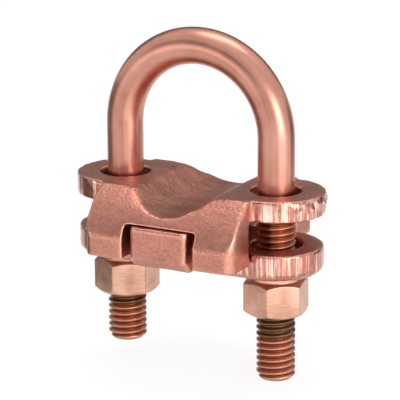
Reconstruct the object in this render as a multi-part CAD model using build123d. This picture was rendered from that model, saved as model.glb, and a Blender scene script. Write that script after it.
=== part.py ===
from build123d import *
import os

# Earth rod clamp: a U-bolt, a cast saddle, a cast pressure plate and two hex nuts.
# Millimetres. +Z runs up the U-bolt towards its bow, X runs from leg to leg, Y runs along the earth rod.
# The origin is on the axis of the saddle's rod seat, midway between the legs.

# U-bolt
leg_spacing = 41.7
shank_diameter = 9.0
thread_diameter = 9.525
thread_pitch = 1.5875
thread_depth = 0.86
thread_crest = 0.25
thread_root = 0.4
leg_end_chamfer = 0.9
bow_rise = 12.5
left_thread_reach = 12.2
right_thread_reach = 16.4
thread_start_depth = 2.2

# Saddle casting
seat_radius = 12.7
seat_depth = 5.1
seat_lip_radius = 1.2
flange_thickness = 5.3
ear_radius = 12.0
bolt_hole_diameter = 12.5
cheek_outer_width = 40.4
cheek_top_depth = 26.4
cheek_foot_depth = 44.6
cheek_flare_height = 11.0
cheek_flare_bulge = 1.2
cheek_height = 16.0
saddle_floor = 2.4
saddle_rib_width = 22.0
cheek_corner_radius = 2.6

# Pressure plate
ear_slot_height = 8.0
plate_thickness = 6.7
plate_ear_radius = 11.6
block_width = 15.6
block_recess = 0.4
block_foot_rise = 2.4
block_toe_chamfer = 2.4
plate_bottom_chamfer = 1.3
block_edge_radius = 1.5

# Nuts
nut_across_flats = 14.29
nut_hex_height = 9.0
nut_collar_height = 1.8
nut_collar_diameter = 12.9
nut_chamfer_angle = 30.0
left_nut_turn = 33.3
right_nut_turn = 40.8

# Clearances
window_gap = 1.8
neck_gap = 0.9
seat_gap = 0.1
thread_clearance = 0.05

leg_x = leg_spacing / 2
top_z = seat_depth - seat_radius
flange_bottom_z = top_z - flange_thickness
cheek_foot_z = top_z - cheek_height
ceiling_z = -seat_radius - saddle_floor
plate_top_z = flange_bottom_z - ear_slot_height
plate_bottom_z = plate_top_z - plate_thickness
nut_top_z = plate_bottom_z - seat_gap
nut_bottom_z = nut_top_z - nut_collar_height - nut_hex_height
thread_top_z = top_z - thread_start_depth
bow_z = top_z + bow_rise
window_half = block_width / 2 + window_gap
cheek_inner_y = plate_ear_radius + neck_gap
block_half_depth = cheek_foot_depth / 2 - block_recess
block_foot_z = plate_bottom_z + block_foot_rise
seat_half_chord = (seat_radius**2 - top_z**2) ** 0.5
cut_margin = 5.0
match_tolerance = 0.01


def post(x, bottom_z, top, radius):
    """An upright cylinder between two heights."""
    return Pos(x, 0, (bottom_z + top) / 2) * Cylinder(radius, top - bottom_z)


def vertical_edges(solid):
    """The solid's upright edges."""
    return solid.edges().filter_by(Axis.Z)


def u_bolt():
    """Round bar bent to a U, with a coarser thread rolled on both legs."""
    bend = Line((leg_x, 0, thread_top_z), (leg_x, 0, bow_z))
    bend += CenterArc((0, 0, bow_z), leg_x, 0, 180).rotate(Axis((0, 0, bow_z), (1, 0, 0)), 90)
    bend += Line((-leg_x, 0, bow_z), (-leg_x, 0, thread_top_z))
    foot = Plane(origin=(leg_x, 0, thread_top_z), z_dir=(0, 0, 1))
    bar = sweep(foot * Circle(shank_diameter / 2), path=bend)
    for side, reach in ((-1, left_thread_reach), (1, right_thread_reach)):
        bar += threaded_leg(side * leg_x, nut_bottom_z - reach)
    return bar


def threaded_leg(x, end_z):
    """One leg's threaded length, as one ring a pitch, chamfered at its end."""
    thread_r = thread_diameter / 2
    root_r = thread_r - thread_depth
    flank = (thread_pitch - thread_crest - thread_root) / 2
    ring_count = int((thread_top_z - end_z - leg_end_chamfer) / thread_pitch)
    outline = [(0, end_z), (root_r, end_z), (thread_r - thread_crest, end_z + leg_end_chamfer)]
    for ring in range(ring_count):
        ring_z = thread_top_z - (ring_count - ring) * thread_pitch
        outline += [
            (root_r, ring_z),
            (root_r, ring_z + thread_root),
            (thread_r, ring_z + thread_root + flank),
            (thread_r, ring_z + thread_root + flank + thread_crest),
        ]
    outline += [(shank_diameter / 2, thread_top_z), (0, thread_top_z)]
    face = make_face(Plane.XZ * Polyline(*outline, close=True))
    return Pos(x, 0, 0) * revolve(face, Axis.Z)


def cheek_profile():
    """The saddle's side view: cheeks that flare outwards below the rod seat and then drop straight."""
    top = Vector(cheek_top_depth / 2, top_z)
    shoulder = Vector(cheek_foot_depth / 2, top_z - cheek_flare_height)
    foot = Vector(cheek_foot_depth / 2, cheek_foot_z)
    flare = SagittaArc(top, shoulder, cheek_flare_bulge)
    half = Line((0, top_z), top) + flare + Polyline(shoulder, foot, (0, cheek_foot_z))
    outline = Plane.YZ * (half + mirror(half, Plane.YZ))
    return extrude(make_face(outline), cheek_outer_width / 2, both=True)


def saddle_casting():
    """Eared top flange with the rod seat across it and four cheeks that reach down past the plate."""
    cheeks = cheek_profile()
    cheeks = fillet(vertical_edges(cheeks), cheek_corner_radius)
    height = top_z - cheek_foot_z + 2 * cut_margin
    middle_z = (top_z + cheek_foot_z) / 2
    channel = Pos(0, 0, flange_bottom_z - height / 2) * Box(
        cheek_outer_width + 2 * cut_margin, 2 * cheek_inner_y, height
    )
    rib = Pos(0, 0, (top_z + ceiling_z) / 2) * Box(
        saddle_rib_width, 2 * cheek_inner_y, top_z - ceiling_z
    )
    window = Pos(0, 0, ceiling_z - height / 2) * Box(
        2 * window_half, cheek_foot_depth + 2 * cut_margin, height
    )
    body = cheeks - channel + rib - window
    flange_z = (top_z + flange_bottom_z) / 2
    for side in (-1, 1):
        body += Pos(side * leg_x, 0, flange_z) * Cylinder(ear_radius, flange_thickness)
    seat = Rot(90, 0, 0) * Cylinder(seat_radius, cheek_foot_depth + 2 * cut_margin)
    body -= seat
    body = fillet(seat_lips(body), seat_lip_radius)
    for side in (-1, 1):
        body -= Pos(side * leg_x, 0, middle_z) * Cylinder(bolt_hole_diameter / 2, height)
    return body


def seat_lips(body):
    """The two long edges where the rod seat meets the top face."""
    level = body.edges().filter_by(Axis.Y).filter_by_position(
        Axis.Z, top_z - match_tolerance, top_z + match_tolerance
    )
    return [edge for edge in level if abs(abs(edge.center().X) - seat_half_chord) < match_tolerance]


def pressure_plate():
    """Eared plate with a central block that rises between the saddle's cheeks and keeps it from turning."""
    bar = SlotCenterToCenter(leg_spacing, 2 * plate_ear_radius)
    plate = Pos(0, 0, plate_bottom_z) * extrude(bar, plate_thickness)
    plate = chamfer(plate.faces().sort_by(Axis.Z)[0].outer_wire().edges(), plate_bottom_chamfer)
    block_height = ceiling_z - seat_gap - block_foot_z
    block = Pos(0, 0, block_foot_z + block_height / 2) * Box(
        block_width, 2 * block_half_depth, block_height
    )
    toes = block.edges().filter_by(Axis.X).group_by(Axis.Z)[0]
    block = chamfer(toes, block_toe_chamfer)
    block = fillet(vertical_edges(block), block_edge_radius)
    body = plate + block
    hole_bottom_z = plate_bottom_z - cut_margin
    for side in (-1, 1):
        body -= post(side * leg_x, hole_bottom_z, plate_top_z + cut_margin, bolt_hole_diameter / 2)
    return body


def hex_nut(x, turn):
    """Hex nut with a round collar against the plate and chamfered corners."""
    hex_z = nut_bottom_z + nut_hex_height / 2
    corner_r = nut_across_flats / 3**0.5
    body = extrude(RegularPolygon(corner_r, 6), nut_hex_height / 2, both=True)
    body = Pos(0, 0, hex_z) * Rot(0, 0, turn) * body
    body = body & chamfer_envelope(corner_r)
    body += post(0, nut_top_z - nut_collar_height, nut_top_z, nut_collar_diameter / 2)
    bore_r = thread_diameter / 2 + thread_clearance
    body -= post(0, nut_bottom_z - cut_margin, nut_top_z + cut_margin, bore_r)
    return Pos(x, 0, 0) * body


def chamfer_envelope(corner_r):
    """A turned blank whose two cones cut the nut's corners."""
    flat_r = nut_collar_diameter / 2
    drop = (corner_r - flat_r) * Vector(1, 0, 0).rotate(Axis.Z, nut_chamfer_angle).Y
    hex_top_z = nut_top_z - nut_collar_height
    outline = [
        (0, nut_bottom_z),
        (flat_r, nut_bottom_z),
        (corner_r, nut_bottom_z + drop),
        (corner_r, hex_top_z - drop),
        (flat_r, hex_top_z),
        (0, hex_top_z),
    ]
    return revolve(make_face(Plane.XZ * Polyline(*outline, close=True)), Axis.Z)


parts = {
    "u_bolt": u_bolt(),
    "saddle_casting": saddle_casting(),
    "pressure_plate": pressure_plate(),
    "left_nut": hex_nut(-leg_x, left_nut_turn),
    "right_nut": hex_nut(leg_x, right_nut_turn),
}

os.makedirs("parts", exist_ok=True)
for name, shape in parts.items():
    export_step(shape, f"parts/{name}.step")
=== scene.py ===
import math
import bpy
import bmesh
from mathutils import Matrix, Vector, noise


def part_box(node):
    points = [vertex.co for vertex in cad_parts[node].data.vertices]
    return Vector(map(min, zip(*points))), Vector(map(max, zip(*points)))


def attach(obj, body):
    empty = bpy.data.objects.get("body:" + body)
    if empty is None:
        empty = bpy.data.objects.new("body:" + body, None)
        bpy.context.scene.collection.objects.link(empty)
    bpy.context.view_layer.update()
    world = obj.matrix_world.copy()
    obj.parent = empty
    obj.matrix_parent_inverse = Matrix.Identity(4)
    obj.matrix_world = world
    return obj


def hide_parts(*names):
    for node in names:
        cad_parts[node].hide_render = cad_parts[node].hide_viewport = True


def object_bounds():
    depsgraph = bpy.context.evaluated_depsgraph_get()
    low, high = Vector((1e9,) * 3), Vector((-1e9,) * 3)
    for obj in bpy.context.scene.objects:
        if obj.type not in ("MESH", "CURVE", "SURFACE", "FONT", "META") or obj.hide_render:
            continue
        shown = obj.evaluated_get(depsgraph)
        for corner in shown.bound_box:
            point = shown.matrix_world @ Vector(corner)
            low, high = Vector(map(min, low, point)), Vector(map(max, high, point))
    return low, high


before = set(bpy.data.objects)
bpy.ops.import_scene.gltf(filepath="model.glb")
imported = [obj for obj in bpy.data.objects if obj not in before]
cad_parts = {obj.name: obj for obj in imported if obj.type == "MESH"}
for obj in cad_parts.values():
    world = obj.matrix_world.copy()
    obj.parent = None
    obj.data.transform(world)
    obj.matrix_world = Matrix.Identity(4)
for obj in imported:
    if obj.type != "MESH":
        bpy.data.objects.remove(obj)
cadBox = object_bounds()
mm = 0.001
weldGap = 0.001 * mm  # vertices nearer than this become one

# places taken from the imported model, in metres
boltLow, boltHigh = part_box("u_bolt")
nutBoxes = {"left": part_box("left_nut"), "right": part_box("right_nut")}
legX = (nutBoxes["right"][0][0] + nutBoxes["right"][1][0]) / 2
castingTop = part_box("saddle_casting")[1][2]
print("frame loaded, legs", round(2 * legX / mm, 2), "mm apart")


# material building

def chart(red, green, blue):
    # a colour as a paint chart gives it, 0 to 255, made linear
    steps = [((c / 255 + 0.055) / 1.055) ** 2.4 for c in (red, green, blue)]
    return (*steps, 1.0)


def metalMaterial(name):
    material = bpy.data.materials.new(name)
    material.use_nodes = True
    shader = material.node_tree.nodes["Principled BSDF"]
    shader.inputs["Metallic"].default_value = 1.0
    return material, shader


def addNode(material, kind, sockets, **settings):
    node = material.node_tree.nodes.new(kind)
    for key, value in settings.items():
        setattr(node, key, value)
    for key, value in sockets.items():
        if isinstance(value, bpy.types.NodeSocket):
            material.node_tree.links.new(value, node.inputs[key])
        else:
            node.inputs[key].default_value = value
    return node


def objectPlace(material, scale=(1, 1, 1)):
    place = addNode(material, "ShaderNodeTexCoord", {}).outputs["Object"]
    return addNode(material, "ShaderNodeMapping", {"Vector": place, "Scale": scale}).outputs["Vector"]


def noiseField(material, vector, scale, detail=2.0, roughness=0.5):
    sockets = {"Vector": vector, "Scale": scale, "Detail": detail, "Roughness": roughness}
    return addNode(material, "ShaderNodeTexNoise", sockets).outputs["Fac"]


def stored(material, layer, output="Fac"):
    return addNode(material, "ShaderNodeAttribute", {}, attribute_name=layer).outputs[output]


def spread(material, value, span, target=(0.0, 1.0)):
    sockets = {
        "Value": value, "From Min": span[0], "From Max": span[1],
        "To Min": target[0], "To Max": target[1],
    }
    return addNode(material, "ShaderNodeMapRange", sockets).outputs["Result"]


def calc(material, operation, first, second=0.0):
    return addNode(material, "ShaderNodeMath", {0: first, 1: second}, operation=operation).outputs[0]


def sharedNoise(material, share, first, second):
    # two noises added, the first with its share and the second with the rest
    firstPart = calc(material, "MULTIPLY", first, share)
    return calc(material, "ADD", firstPart, calc(material, "MULTIPLY", second, 1.0 - share))


def blendColours(material, share, first, second):
    sockets = {0: share, 6: first, 7: second}
    return addNode(material, "ShaderNodeMix", sockets, data_type="RGBA").outputs[2]


def bump(material, height, distance, normal=None):
    sockets = {"Height": height, "Distance": distance * mm, "Strength": 1.0}
    if normal:
        sockets["Normal"] = normal
    return addNode(material, "ShaderNodeBump", sockets).outputs["Normal"]


def plug(material, value, socket):
    material.node_tree.links.new(value, socket)


# piece building

def finishPiece(name, bm, body, node, materials):
    mesh = bpy.data.meshes.new(name)
    bm.to_mesh(mesh)
    bm.free()
    piece = bpy.data.objects.new(name, mesh)
    bpy.context.scene.collection.objects.link(piece)
    for material in materials:
        mesh.materials.append(material)
    mesh.shade_smooth()
    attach(piece, body)
    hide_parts(node)
    print("made", name, len(mesh.polygons), "faces")
    return piece


def newEdges(result):
    return [g for g in result["geom"] if isinstance(g, bmesh.types.BMEdge)]


def newVerts(result):
    return [g for g in result["geom"] if isinstance(g, bmesh.types.BMVert)]


# U-bolt: drawn bar bent to a bow, with a rolled thread on both legs

uBolt = {
    # bar and bow, in mm
    "barRadius": 4.5,
    "barSides": 64,
    "bowSteps": 80,
    "barGap": 0.3,
    # thread, in mm
    "threadMajor": 4.7625,
    "threadMinor": 3.9,
    "pitch": 1.5875,
    "turnSteps": 60,
    "leadTurns": 2,
    "spareTurns": 3,
    "threadStartDepth": 2.2,
    "runOut": 1.6,
    "leftLegShorter": 4.2,
    "endChamfer": 0.95,
    "endReach": 0.01,
    "joinReach": 0.1,
    "threadForm": [(0.1, 0.03), (0.06, 0.08), (0.24, 0.79), (0.05, 0.1), (0.1, 0.0)],  # along, up
    # finish of the bar
    "barColour": chart(209, 151, 134),
    "barShade": chart(180, 122, 103),
    "barToneSpan": (0.3, 0.66),
    "barRoughness": (0.27, 0.33),
    "cloudScale": 130.0,
    "streakScale": 1400.0,
    "streakStretch": 0.03,
    "streakShare": 0.3,
    "streakDepth": 0.006,
    "grainScale": 2400.0,
    "grainDepth": 0.008,
    # finish of the thread
    "threadColour": chart(204, 140, 114),
    # painted shade: the thread's roots are coloured darker, standing in for the shade in the grooves
    "rootShadeColour": chart(112, 62, 44),
    "rootShadeFade": 0.45,
    "threadRoughness": (0.26, 0.44),
    "patinaColour": chart(112, 84, 62),
    "patinaDepth": {"left": 3.2, "right": 6.0},
    "patinaSpan": (0.1, 0.5),
    "patinaStrength": (0.6, 0.95),
    "blotchScale": 420.0,
    "gritScale": 2200.0,
    "gritDepth": 0.012,
}
middleNoise = (0.3, 0.7)  # the range that most of a noise lies in


def drawnBarMaterial():
    look = uBolt
    material, shader = metalMaterial("drawnBronze")
    grain = stored(material, "grain", "Vector")
    stretch = {"Vector": grain, "Scale": (1, 1, look["streakStretch"])}
    lengthwise = addNode(material, "ShaderNodeMapping", stretch).outputs["Vector"]
    streaks = noiseField(material, lengthwise, look["streakScale"])
    clouds = noiseField(material, grain, look["cloudScale"], detail=3.0)
    tone = spread(material, sharedNoise(material, look["streakShare"], streaks, clouds), look["barToneSpan"])
    colour = blendColours(material, tone, look["barShade"], look["barColour"])
    plug(material, colour, shader.inputs["Base Color"])
    rough = spread(material, clouds, middleNoise, look["barRoughness"])
    plug(material, rough, shader.inputs["Roughness"])
    fine = noiseField(material, grain, look["grainScale"])
    skin = bump(material, fine, look["grainDepth"])
    plug(material, bump(material, streaks, look["streakDepth"], skin), shader.inputs["Normal"])
    return material


def threadMaterial():
    look = uBolt
    material, shader = metalMaterial("threadedBronze")
    place = objectPlace(material)
    parts = addNode(material, "ShaderNodeSeparateXYZ", {"Vector": place}).outputs
    across = calc(material, "SUBTRACT", calc(material, "ABSOLUTE", parts["X"]), legX)
    acrossSquare = calc(material, "POWER", across, 2.0)
    depthSquare = calc(material, "POWER", parts["Y"], 2.0)
    radius = calc(material, "SQRT", calc(material, "ADD", acrossSquare, depthSquare))
    # painted shade: the colour darkens from the crests towards the root of the thread
    root = look["threadMinor"] * mm
    height = spread(material, radius, (root, root + look["rootShadeFade"] * mm))
    flankWithRootShade = blendColours(material, height, look["rootShadeColour"], look["threadColour"])
    blotches = noiseField(material, place, look["blotchScale"], detail=3.0)
    strength = spread(material, blotches, look["patinaSpan"], look["patinaStrength"])
    stain = calc(material, "MULTIPLY", stored(material, "stain"), strength)
    toned = blendColours(material, stain, flankWithRootShade, look["patinaColour"])
    plug(material, toned, shader.inputs["Base Color"])
    rough = spread(material, blotches, middleNoise, look["threadRoughness"])
    plug(material, rough, shader.inputs["Roughness"])
    grit = noiseField(material, place, look["gritScale"])
    plug(material, bump(material, grit, look["gritDepth"]), shader.inputs["Normal"])
    return material


def threadedLeg(x, endZ, topZ):
    size = uBolt
    pitch = size["pitch"] * mm
    rise = (size["threadMajor"] - size["threadMinor"]) * mm
    start = Vector((x + size["threadMinor"] * mm, 0, endZ - size["leadTurns"] * pitch))
    bm = bmesh.new()
    tip = bmesh.ops.create_vert(bm, co=start)["vert"][0]
    upFlank = size["threadForm"]
    downFlank = [(share, -climb) for share, climb in reversed(upFlank)]
    total = sum(share for share, climb in upFlank) * 2
    for share, climb in upFlank + downFlank:
        step = bmesh.ops.extrude_vert_indiv(bm, verts=[tip])
        tip = step["verts"][0]
        tip.co += Vector((climb * rise, 0, share / total * pitch))
    turns = math.ceil((topZ - endZ) / pitch) + size["spareTurns"]
    steps = size["turnSteps"]
    # the profile is one pitch long and climbs one pitch in each turn, so its turns meet
    bmesh.ops.spin(
        bm, geom=bm.verts[:] + bm.edges[:], cent=(x, 0, 0), axis=(0, 0, 1),
        dvec=(0, 0, pitch / steps), angle=math.tau * turns, steps=turns * steps, use_merge=False,
    )
    bmesh.ops.remove_doubles(bm, verts=bm.verts, dist=2 * weldGap)
    for cutZ, keepBelow in ((topZ, True), (endZ, False)):
        bmesh.ops.bisect_plane(
            bm, geom=bm.verts[:] + bm.edges[:] + bm.faces[:], dist=weldGap,
            plane_co=(0, 0, cutZ), plane_no=(0, 0, 1), clear_outer=keepBelow, clear_inner=not keepBelow,
        )
    for vert in bm.verts:
        spoke = Vector((vert.co.x - x, vert.co.y))
        fade = min(1.0, (topZ - vert.co.z) / (size["runOut"] * mm))
        radius = size["barRadius"] * mm * (1 - fade) + spoke.length * fade
        chamfer = (size["threadMajor"] - size["endChamfer"]) * mm + vert.co.z - endZ
        spoke *= min(radius, chamfer) / spoke.length
        vert.co.x, vert.co.y = x + spoke.x, spoke.y
    lowest = endZ + size["endReach"] * mm
    rim = [e for e in bm.edges if e.is_boundary and e.verts[0].co.z < lowest]
    bmesh.ops.edgeloop_fill(bm, edges=rim)
    for face in bm.faces:
        face.material_index = 1
    return bm


def bentBar(bowZ, barFoot):
    # up the right leg, round the bow and down the left leg
    bm = bmesh.new()
    bmesh.ops.create_circle(
        bm, segments=uBolt["barSides"], radius=uBolt["barRadius"] * mm,
        matrix=Matrix.Translation((legX, 0, barFoot)),
    )
    leg = bmesh.ops.extrude_edge_only(bm, edges=bm.edges[:])
    bmesh.ops.translate(bm, verts=newVerts(leg), vec=(0, 0, bowZ - barFoot))
    bow = bmesh.ops.spin(
        bm, geom=newEdges(leg), cent=(0, 0, bowZ), axis=(0, -1, 0),
        angle=math.pi, steps=uBolt["bowSteps"], use_merge=False,
    )
    lastRing = [g for g in bow["geom_last"] if isinstance(g, bmesh.types.BMEdge)]
    leg = bmesh.ops.extrude_edge_only(bm, edges=lastRing)
    bmesh.ops.translate(bm, verts=newVerts(leg), vec=(0, 0, barFoot - bowZ))
    bmesh.ops.remove_doubles(bm, verts=bm.verts, dist=weldGap)
    return bm


def markGrain(bm, bowZ):
    # across, depth and length of the bar, so that streaks follow the bend
    grain = bm.verts.layers.float_vector.new("grain")
    for vert in bm.verts:
        if vert.co.z > bowZ:
            across = math.hypot(vert.co.x, vert.co.z - bowZ) - legX
            along = math.atan2(vert.co.z - bowZ, vert.co.x) * legX
        else:
            across = abs(vert.co.x) - legX
            drop = vert.co.z - bowZ
            along = drop if vert.co.x > 0 else math.pi * legX - drop
        vert[grain] = (across, vert.co.y, along)


def markStain(bm):
    stain = bm.verts.layers.float.new("stain")
    nutBottom = nutBoxes["right"][0][2]
    for vert in bm.verts:
        side = "right" if vert.co.x > 0 else "left"
        below = (vert.co.z - nutBottom) / mm + uBolt["patinaDepth"][side]
        vert[stain] = max(0.0, min(1.0, below)) if vert.co.z < nutBottom + mm else 0.0


def uBoltPiece():
    size = uBolt
    bowZ = boltHigh[2] - legX - size["barRadius"] * mm
    threadTop = castingTop - size["threadStartDepth"] * mm
    bm = bentBar(bowZ, threadTop + size["barGap"] * mm)
    ends = {legX: boltLow[2], -legX: boltLow[2] + size["leftLegShorter"] * mm}
    for x, endZ in ends.items():
        thread = threadedLeg(x, endZ, threadTop)
        rolled = bpy.data.meshes.new("rolledThread")
        thread.to_mesh(rolled)
        thread.free()
        bm.from_mesh(rolled)
        bpy.data.meshes.remove(rolled)
    lowest = threadTop - size["joinReach"] * mm
    for x in ends:
        joint = [
            e for e in bm.edges
            if e.is_boundary and e.verts[0].co.x * x > 0 and e.verts[0].co.z > lowest
        ]
        bmesh.ops.bridge_loops(bm, edges=joint)
    bmesh.ops.recalc_face_normals(bm, faces=bm.faces)
    markGrain(bm, bowZ)
    markStain(bm)
    materials = [drawnBarMaterial(), threadMaterial()]
    return finishPiece("bent_u_bolt", bm, "u_bolt", "u_bolt", materials)


# castings: the saddle and the pressure plate, with their flash sheared off round the ears

casting = {
    # shape, in mm
    "saddleEarRadius": 12.0,
    "plateEarRadius": 11.6,
    "skinSize": 0.4,
    "softening": 9,
    "swell": [(260.0, 0.08), (700.0, 0.06)],  # grain per metre, depth
    "lipX": 10.6,
    "lipReach": 3.6,
    "lipDepth": 4.0,
    "lipFromHole": 7.4,
    "lipRounds": 45,
    "flashDrop": 2.0,
    "flashSpread": 1.3,
    "flashGrain": 520.0,
    "flashReach": 0.8,
    "flashBase": 0.6,
    "flashFocus": 3,
    # cast skin
    "skinColour": chart(201, 140, 122),
    # the darker colour is a painted shade in the pebble pits, mixed with random mottled patches
    "pitShadeAndMottleColour": chart(174, 114, 97),
    "rubbedSheenColour": chart(214, 154, 137),
    "patchScale": 170.0,
    "pebbleScale": 1700.0,
    "pebbleDepth": 0.1,
    "pebbleFromSideToTop": (0.75, 1.7),
    "upwardSpan": (0.2, 0.9),
    "pitShadeSpan": (0.35, 0.6),
    "pitShadeShare": 0.45,
    "toneSpan": (0.2, 0.85),
    "roughness": (0.32, 0.44),
    # worn edges: lighter colour, partly real wear and partly a painted highlight along the outward edges,
    # and smoother gloss
    "wearRounds": 2,
    "wearSheenSpan": (0.04, 0.24),
    "wearSmoothSpan": (0.03, 0.2),
    "wearSmoothing": 0.12,
    # sheared rims
    "rimDepth": 0.9,
    "rimGain": 1.8,
    "rimOffset": 0.4,
    "shearColour": chart(238, 194, 180),
    "shearShade": chart(176, 114, 97),
    "shearScale": (1300, 1300, 50),
    "shearSpan": (0.47, 0.6),
    "shearDepth": 0.11,
    "shearSmoothing": 0.2,
    "shearedPebbles": 0.6,
}


def castMaterial(name):
    look = casting
    material, shader = metalMaterial(name)
    place = objectPlace(material)
    pebbles = noiseField(material, place, look["pebbleScale"], detail=3.0, roughness=0.55)
    patches = noiseField(material, place, look["patchScale"], detail=3.0)
    wearAndSheen = stored(material, "wearAndSheen")
    rim = stored(material, "rim")
    shearPlace = objectPlace(material, look["shearScale"])
    shear = noiseField(material, shearPlace, 1.0, detail=4.0, roughness=0.6)
    # colour
    # painted shade: the pits of the pebble bump are coloured darker, mixed with random patches of tone
    pitShade = spread(material, pebbles, look["pitShadeSpan"])
    tone = spread(material, sharedNoise(material, look["pitShadeShare"], pitShade, patches), look["toneSpan"])
    skin = blendColours(material, tone, look["pitShadeAndMottleColour"], look["skinColour"])
    # painted highlight and wear: outward edges are coloured lighter
    rubbedSheen = spread(material, wearAndSheen, look["wearSheenSpan"])
    skin = blendColours(material, rubbedSheen, skin, look["rubbedSheenColour"])
    bright = spread(material, shear, look["shearSpan"])
    sheared = blendColours(material, bright, look["shearShade"], look["shearColour"])
    plug(material, blendColours(material, rim, skin, sheared), shader.inputs["Base Color"])
    # gloss
    rough = spread(material, patches, middleNoise, look["roughness"])
    wornSmooth = spread(material, wearAndSheen, look["wearSmoothSpan"], (0.0, look["wearSmoothing"]))
    rough = calc(material, "SUBTRACT", rough, wornSmooth)
    rimSmooth = calc(material, "MULTIPLY", rim, look["shearSmoothing"])
    plug(material, calc(material, "SUBTRACT", rough, rimSmooth), shader.inputs["Roughness"])
    # grain
    onRim = calc(material, "SUBTRACT", 1.0, calc(material, "MULTIPLY", rim, look["shearedPebbles"]))
    grain = calc(material, "MULTIPLY", pebbles, onRim)
    upward = stored(material, "upward")
    facing = spread(material, upward, look["upwardSpan"], look["pebbleFromSideToTop"])
    grain = calc(material, "MULTIPLY", grain, facing)
    pebbled = bump(material, grain, look["pebbleDepth"])
    cuts = calc(material, "MULTIPLY", rim, shear)
    plug(material, bump(material, cuts, look["shearDepth"], pebbled), shader.inputs["Normal"])
    return material


def softened(bm, voxel, rounds):
    # one even skin over the sharp shape, then its edges relaxed as a casting's are
    mesh = bpy.data.meshes.new("sharpShape")
    bm.to_mesh(mesh)
    bm.free()
    holder = bpy.data.objects.new("sharpShape", mesh)
    bpy.context.scene.collection.objects.link(holder)
    skin = holder.modifiers.new("skin", "REMESH")
    skin.mode = "VOXEL"
    skin.voxel_size = voxel
    relax = holder.modifiers.new("relax", "SMOOTH")
    relax.factor = 0.5
    relax.iterations = rounds
    depsgraph = bpy.context.evaluated_depsgraph_get()
    result = bpy.data.meshes.new_from_object(holder.evaluated_get(depsgraph))
    bpy.data.objects.remove(holder)
    soft = bmesh.new()
    soft.from_mesh(result)
    bpy.data.meshes.remove(result)
    return soft


def easeSeatLips(bm):
    # the rod seat runs into the ears in a long soft curve
    size = casting
    for side in (-1, 1):
        lip = [
            vert for vert in bm.verts
            if abs(vert.co.x * side - size["lipX"] * mm) < size["lipReach"] * mm
            and vert.co.z > castingTop - size["lipDepth"] * mm
            and math.hypot(vert.co.x - side * legX, vert.co.y) > size["lipFromHole"] * mm
        ]
        for again in range(size["lipRounds"]):
            bmesh.ops.smooth_vert(
                bm, verts=lip, factor=0.5, use_axis_x=True, use_axis_y=True, use_axis_z=True,
            )


def markRim(bm, earRadius):
    rim = bm.verts.layers.float.new("rim")
    reach = casting["rimDepth"] * mm
    for vert in bm.verts:
        out = math.hypot(abs(vert.co.x) - legX, vert.co.y) - earRadius
        level = 1.0 - abs(vert.normal.z)
        share = max(0.0, min(1.0, casting["rimGain"] * level - casting["rimOffset"]))
        vert[rim] = share if abs(out) < reach else 0.0


def raiseFlash(bm):
    # one ear of the saddle keeps a ragged line of flash at its end
    size = casting
    rim = bm.verts.layers.float["rim"]
    middle = castingTop - size["flashDrop"] * mm
    for vert in bm.verts:
        if vert[rim] == 0.0 or vert.co.x < legX:
            continue
        spoke = Vector((vert.co.x - legX, vert.co.y, 0)).normalized()
        level = math.exp(-((vert.co.z - middle) / (size["flashSpread"] * mm)) ** 2)
        jag = noise.noise(Vector((0, vert.co.y, vert.co.z)) * size["flashGrain"])
        ragged = max(0.0, size["flashBase"] + jag)
        vert.co += spoke * (ragged * level * spoke.x ** size["flashFocus"] * size["flashReach"] * mm)


def swellSkin(bm):
    for scale, depth in casting["swell"]:
        for vert in bm.verts:
            vert.co += vert.normal * (noise.noise(vert.co * scale) * depth * mm)
    bm.normal_update()


def markUpward(bm):
    upward = bm.verts.layers.float.new("upward")
    for vert in bm.verts:
        vert[upward] = max(0.0, vert.normal.z)


def markWearAndSheen(bm):
    # outward bends wear first and are painted lighter as a highlight, averaged over their neighbours
    wearAndSheen = bm.verts.layers.float.new("wearAndSheen")
    for vert in bm.verts:
        bends = [edge.calc_face_angle_signed(0.0) for edge in vert.link_edges]
        vert[wearAndSheen] = sum(bends) / len(bends)
    for again in range(casting["wearRounds"]):
        evened = []
        for vert in bm.verts:
            around = [edge.other_vert(vert)[wearAndSheen] for edge in vert.link_edges]
            evened.append((vert[wearAndSheen] + sum(around)) / (len(around) + 1))
        for vert, value in zip(bm.verts, evened):
            vert[wearAndSheen] = value


def castPiece(name, node, body, earRadius):
    bm = bmesh.new()
    bm.from_mesh(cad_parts[node].data)
    bmesh.ops.remove_doubles(bm, verts=bm.verts, dist=weldGap)
    bm = softened(bm, casting["skinSize"] * mm, casting["softening"])
    onSaddle = node == "saddle_casting"
    if onSaddle:
        easeSeatLips(bm)
    bm.normal_update()
    markRim(bm, earRadius)
    if onSaddle:
        raiseFlash(bm)
    swellSkin(bm)
    markUpward(bm)
    markWearAndSheen(bm)
    return finishPiece(name, bm, body, node, [castMaterial(name + "_bronze")])


# nuts: hex nuts with a round collar against the plate

nut = {
    # shape, in mm and degrees
    "acrossFlats": 14.29,
    "collarRadius": 6.45,
    "collarHeight": 1.8,
    "boreRadius": 4.8125,
    "boreChamfer": 0.45,
    "chamferAngle": 30,
    "sides": 96,
    "edgeBevel": 0.38,
    "edgeSegments": 3,
    "sharpAngle": 18,
    "flatWeight": 90,
    "faceAngle": {"left": 33.3, "right": 40.8},
    # finish
    "colour": chart(219, 171, 150),
    "shade": chart(186, 138, 116),
    "toneSpan": (0.35, 0.62),
    "roughness": (0.22, 0.36),
    "cloudScale": 210.0,
    "cloudShare": 0.7,
    "brushScale": (260, 260, 2600),
    "brushDepth": 0.01,
    "grainScale": 1300.0,
    "grainDepth": 0.015,
}


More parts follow.
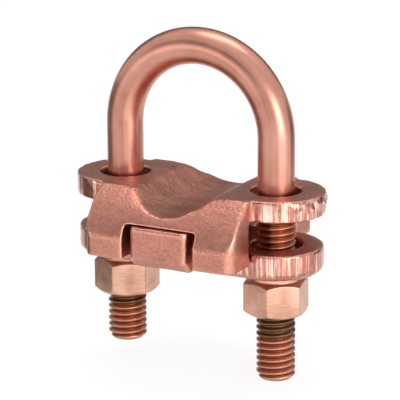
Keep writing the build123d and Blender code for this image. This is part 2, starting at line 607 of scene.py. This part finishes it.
def nutMaterial():
    look = nut
    material, shader = metalMaterial("machinedBronze")
    place = objectPlace(material)
    clouds = noiseField(material, place, look["cloudScale"], detail=3.0)
    brushed = noiseField(material, objectPlace(material, look["brushScale"]), 1.0, detail=3.0)
    tone = spread(material, sharedNoise(material, look["cloudShare"], clouds, brushed), look["toneSpan"])
    colour = blendColours(material, tone, look["shade"], look["colour"])
    plug(material, colour, shader.inputs["Base Color"])
    rough = spread(material, clouds, middleNoise, look["roughness"])
    plug(material, rough, shader.inputs["Roughness"])
    fine = noiseField(material, place, look["grainScale"])
    skin = bump(material, fine, look["grainDepth"])
    plug(material, bump(material, brushed, look["brushDepth"], skin), shader.inputs["Normal"])
    return material


def nutPiece(side, material):
    size = nut
    low, high = nutBoxes[side]
    x = (low[0] + high[0]) / 2
    top, bottom = high[2], low[2]
    hexTop = top - size["collarHeight"] * mm
    flat = size["acrossFlats"] / 2 * mm
    collar = size["collarRadius"] * mm
    bore = size["boreRadius"] * mm
    ease = size["boreChamfer"] * mm
    slope = math.tan(math.radians(size["chamferAngle"]))
    turn = math.radians(size["faceAngle"][side] - 90)  # a flat's angle, counted from the front

    def hexReach(angle):
        offset = (angle - turn + math.pi / 6) % (math.pi / 3) - math.pi / 6
        return flat / math.cos(offset)

    # radius and height of each ring, from the bore's top round the outside to its foot
    rows = [
        lambda a: (bore + ease, top),
        lambda a: (collar, top),
        lambda a: (collar, hexTop),
        lambda a: (hexReach(a), hexTop - (hexReach(a) - collar) * slope),
        lambda a: (hexReach(a), bottom + (hexReach(a) - collar) * slope),
        lambda a: (collar, bottom),
        lambda a: (bore + ease, bottom),
        lambda a: (bore, bottom + ease),
    ]
    bm = bmesh.new()
    startPlace = Matrix.Translation((x, 0, top - ease)) @ Matrix.Rotation(turn, 4, "Z")
    bmesh.ops.create_circle(bm, segments=size["sides"], radius=bore, matrix=startPlace)
    edges = bm.edges[:]
    for row in rows:
        ring = bmesh.ops.extrude_edge_only(bm, edges=edges)
        for vert in newVerts(ring):
            angle = math.atan2(vert.co.y, vert.co.x - x)
            radius, z = row(angle)
            vert.co = (x + radius * math.cos(angle), radius * math.sin(angle), z)
        edges = newEdges(ring)
    bmesh.ops.bridge_loops(bm, edges=[e for e in bm.edges if e.is_boundary])
    bmesh.ops.recalc_face_normals(bm, faces=bm.faces)
    sharp = [e for e in bm.edges if e.calc_face_angle(0.0) > math.radians(size["sharpAngle"])]
    bmesh.ops.bevel(
        bm, geom=sharp, offset=size["edgeBevel"] * mm, segments=size["edgeSegments"], profile=0.5,
        affect="EDGES", clamp_overlap=True, material=-1,
    )
    node = side + "_nut"
    piece = finishPiece("hex_" + node, bm, node, node, [material])
    even = piece.modifiers.new("evenNormals", "WEIGHTED_NORMAL")
    even.weight = size["flatWeight"]
    return piece


# floor, backdrop and light

studio = {
    "floorSize": 6.0,
    "floorColour": (0.56, 0.56, 0.56, 1.0),
    "floorRoughness": 0.8,
    "floorGlow": 0.66,
    "floorLight": 1.29,
    "roomStrength": 0.7,
    "lamps": [
        # name, azimuth, elevation, distance, width, height, watts
        ("leftSoftbox", -30, 2, 0.75, 0.5, 0.16, 0.3),
        ("rightSoftbox", 62, 9, 0.6, 0.3, 0.34, 1.5),
        ("topSoftbox", 208, 80, 0.75, 0.5, 0.3, 1.5),
    ],
    "cards": [
        # name, azimuth, elevation, distance, width, height, glow
        ("rearCard", 208, 22, 0.6, 1.2, 0.4, 0.2),
        ("highCard", -22, 27, 0.7, 0.9, 0.26, 0.36),
        ("leftCard", -86, -6, 0.17, 0.14, 0.1, 0.25),
        ("rightCard", 138, -2, 0.2, 0.12, 0.12, 0.25),
        ("nutCard", -72, -24, 0.085, 0.06, 0.04, 0.3),
        ("frontCard", 44, -22, 0.085, 0.115, 0.036, 1.8),
        ("sideCard", 97, -16, 0.1, 0.05, 0.04, 1.5),
        ("legCard", 68, -7, 0.2, 0.15, 0.055, 2.4),
        ("blockCard", -27, -20, 0.1, 0.07, 0.04, 1.15),
    ],
}


def roundPlace(azimuth, elevation, distance):
    # a place round the casting, turned to face it
    az, el = math.radians(azimuth), math.radians(elevation)
    away = Vector((math.sin(az) * math.cos(el), -math.cos(az) * math.cos(el), math.sin(el)))
    centre = Vector((0, 0, castingTop))
    place = away.to_track_quat("Z", "Y").to_matrix().to_4x4()
    place.translation = centre + away * distance
    return place


def seenRays(owner):
    path = addNode(owner, "ShaderNodeLightPath", {}).outputs
    seen = calc(owner, "MAXIMUM", path["Is Camera Ray"], path["Is Glossy Ray"])
    return calc(owner, "MAXIMUM", seen, path["Is Transmission Ray"])


def studioObject(name, bm, material):
    mesh = bpy.data.meshes.new(name)
    bm.to_mesh(mesh)
    bm.free()
    mesh.materials.append(material)
    holder = bpy.data.objects.new(name, mesh)
    bpy.context.scene.collection.objects.link(holder)
    return holder


def buildFloor():
    material = bpy.data.materials.new("paleFloor")
    material.use_nodes = True
    shader = material.node_tree.nodes["Principled BSDF"]
    shader.inputs["Base Color"].default_value = studio["floorColour"]
    shader.inputs["Roughness"].default_value = studio["floorRoughness"]
    white = {"Color": (1, 1, 1, 1), "Strength": studio["floorLight"]}
    glow = addNode(material, "ShaderNodeEmission", white)
    share = calc(material, "MULTIPLY", seenRays(material), studio["floorGlow"])
    sockets = {0: share, 1: shader.outputs[0], 2: glow.outputs[0]}
    mixed = addNode(material, "ShaderNodeMixShader", sockets)
    output = material.node_tree.nodes["Material Output"]
    plug(material, mixed.outputs[0], output.inputs["Surface"])
    bm = bmesh.new()
    bmesh.ops.create_grid(bm, x_segments=1, y_segments=1, size=studio["floorSize"] / 2)
    bmesh.ops.translate(bm, verts=bm.verts, vec=(0, 0, cadBox[0][2]))
    floor = studioObject("paleFloor", bm, material)


def buildWorld():
    world = bpy.data.worlds.new("paleRoom")
    world.use_nodes = True
    bpy.context.scene.world = world
    room = world.node_tree.nodes["Background"]
    room.inputs["Color"].default_value = (1, 1, 1, 1)
    room.inputs["Strength"].default_value = studio["roomStrength"]
    white = addNode(world, "ShaderNodeBackground", {"Color": (1, 1, 1, 1), "Strength": 1.0})
    sockets = {0: seenRays(world), 1: room.outputs[0], 2: white.outputs[0]}
    mixed = addNode(world, "ShaderNodeMixShader", sockets)
    plug(world, mixed.outputs[0], world.node_tree.nodes["World Output"].inputs["Surface"])


def buildLamps():
    for name, azimuth, elevation, distance, width, height, watts in studio["lamps"]:
        lamp = bpy.data.lights.new(name, "AREA")
        lamp.shape = "RECTANGLE"
        lamp.size = width
        lamp.size_y = height
        lamp.energy = watts
        holder = bpy.data.objects.new(name, lamp)
        holder.matrix_world = roundPlace(azimuth, elevation, distance)
        holder.visible_camera = False
        bpy.context.scene.collection.objects.link(holder)


def buildCards():
    # dim and bright cards out of view, seen only where the metal mirrors them
    for name, azimuth, elevation, distance, width, height, glow in studio["cards"]:
        material = bpy.data.materials.new(name)
        material.use_nodes = True
        tint = addNode(material, "ShaderNodeEmission", {"Color": (1, 1, 1, 1), "Strength": glow})
        output = material.node_tree.nodes["Material Output"]
        plug(material, tint.outputs[0], output.inputs["Surface"])
        bm = bmesh.new()
        bmesh.ops.create_grid(bm, x_segments=1, y_segments=1, size=0.5)
        bmesh.ops.scale(bm, verts=bm.verts, vec=(width, height, 1))
        bmesh.ops.transform(bm, verts=bm.verts, matrix=roundPlace(azimuth, elevation, distance))
        card = studioObject(name, bm, material)
        card.visible_camera = False
        card.visible_shadow = False
        card.visible_diffuse = False


# camera

camera = {
    "azimuth": 28.448,
    "elevation": 14.827,
    "roll": -0.327,
    "distance": 0.5953,
    "sensorWidth": 36,
    "lens": 219.44,
    "shiftX": 0.0005,
    "shiftY": -0.0512,
    "nearest": 0.01,
    "farthest": 50,
}


def buildCamera():
    lens = bpy.data.cameras.new("productCamera")
    lens.sensor_width = camera["sensorWidth"]
    lens.lens = camera["lens"]
    lens.shift_x = camera["shiftX"]
    lens.shift_y = camera["shiftY"]
    lens.clip_start = camera["nearest"]
    lens.clip_end = camera["farthest"]
    lens.dof.use_dof = False
    holder = bpy.data.objects.new("productCamera", lens)
    place = roundPlace(camera["azimuth"], camera["elevation"], camera["distance"])
    holder.matrix_world = place @ Matrix.Rotation(math.radians(camera["roll"]), 4, "Z")
    bpy.context.scene.collection.objects.link(holder)
    bpy.context.scene.camera = holder


uBoltPiece()
castPiece("cast_saddle", "saddle_casting", "saddle", casting["saddleEarRadius"] * mm)
castPiece("cast_plate", "pressure_plate", "plate", casting["plateEarRadius"] * mm)
machinedBronze = nutMaterial()
for side in nutBoxes:
    nutPiece(side, machinedBronze)
print("pieces made")

buildWorld()
buildFloor()
buildLamps()
buildCards()
buildCamera()
bpy.context.scene.view_settings.view_transform = "Standard"
print("stage and camera set")
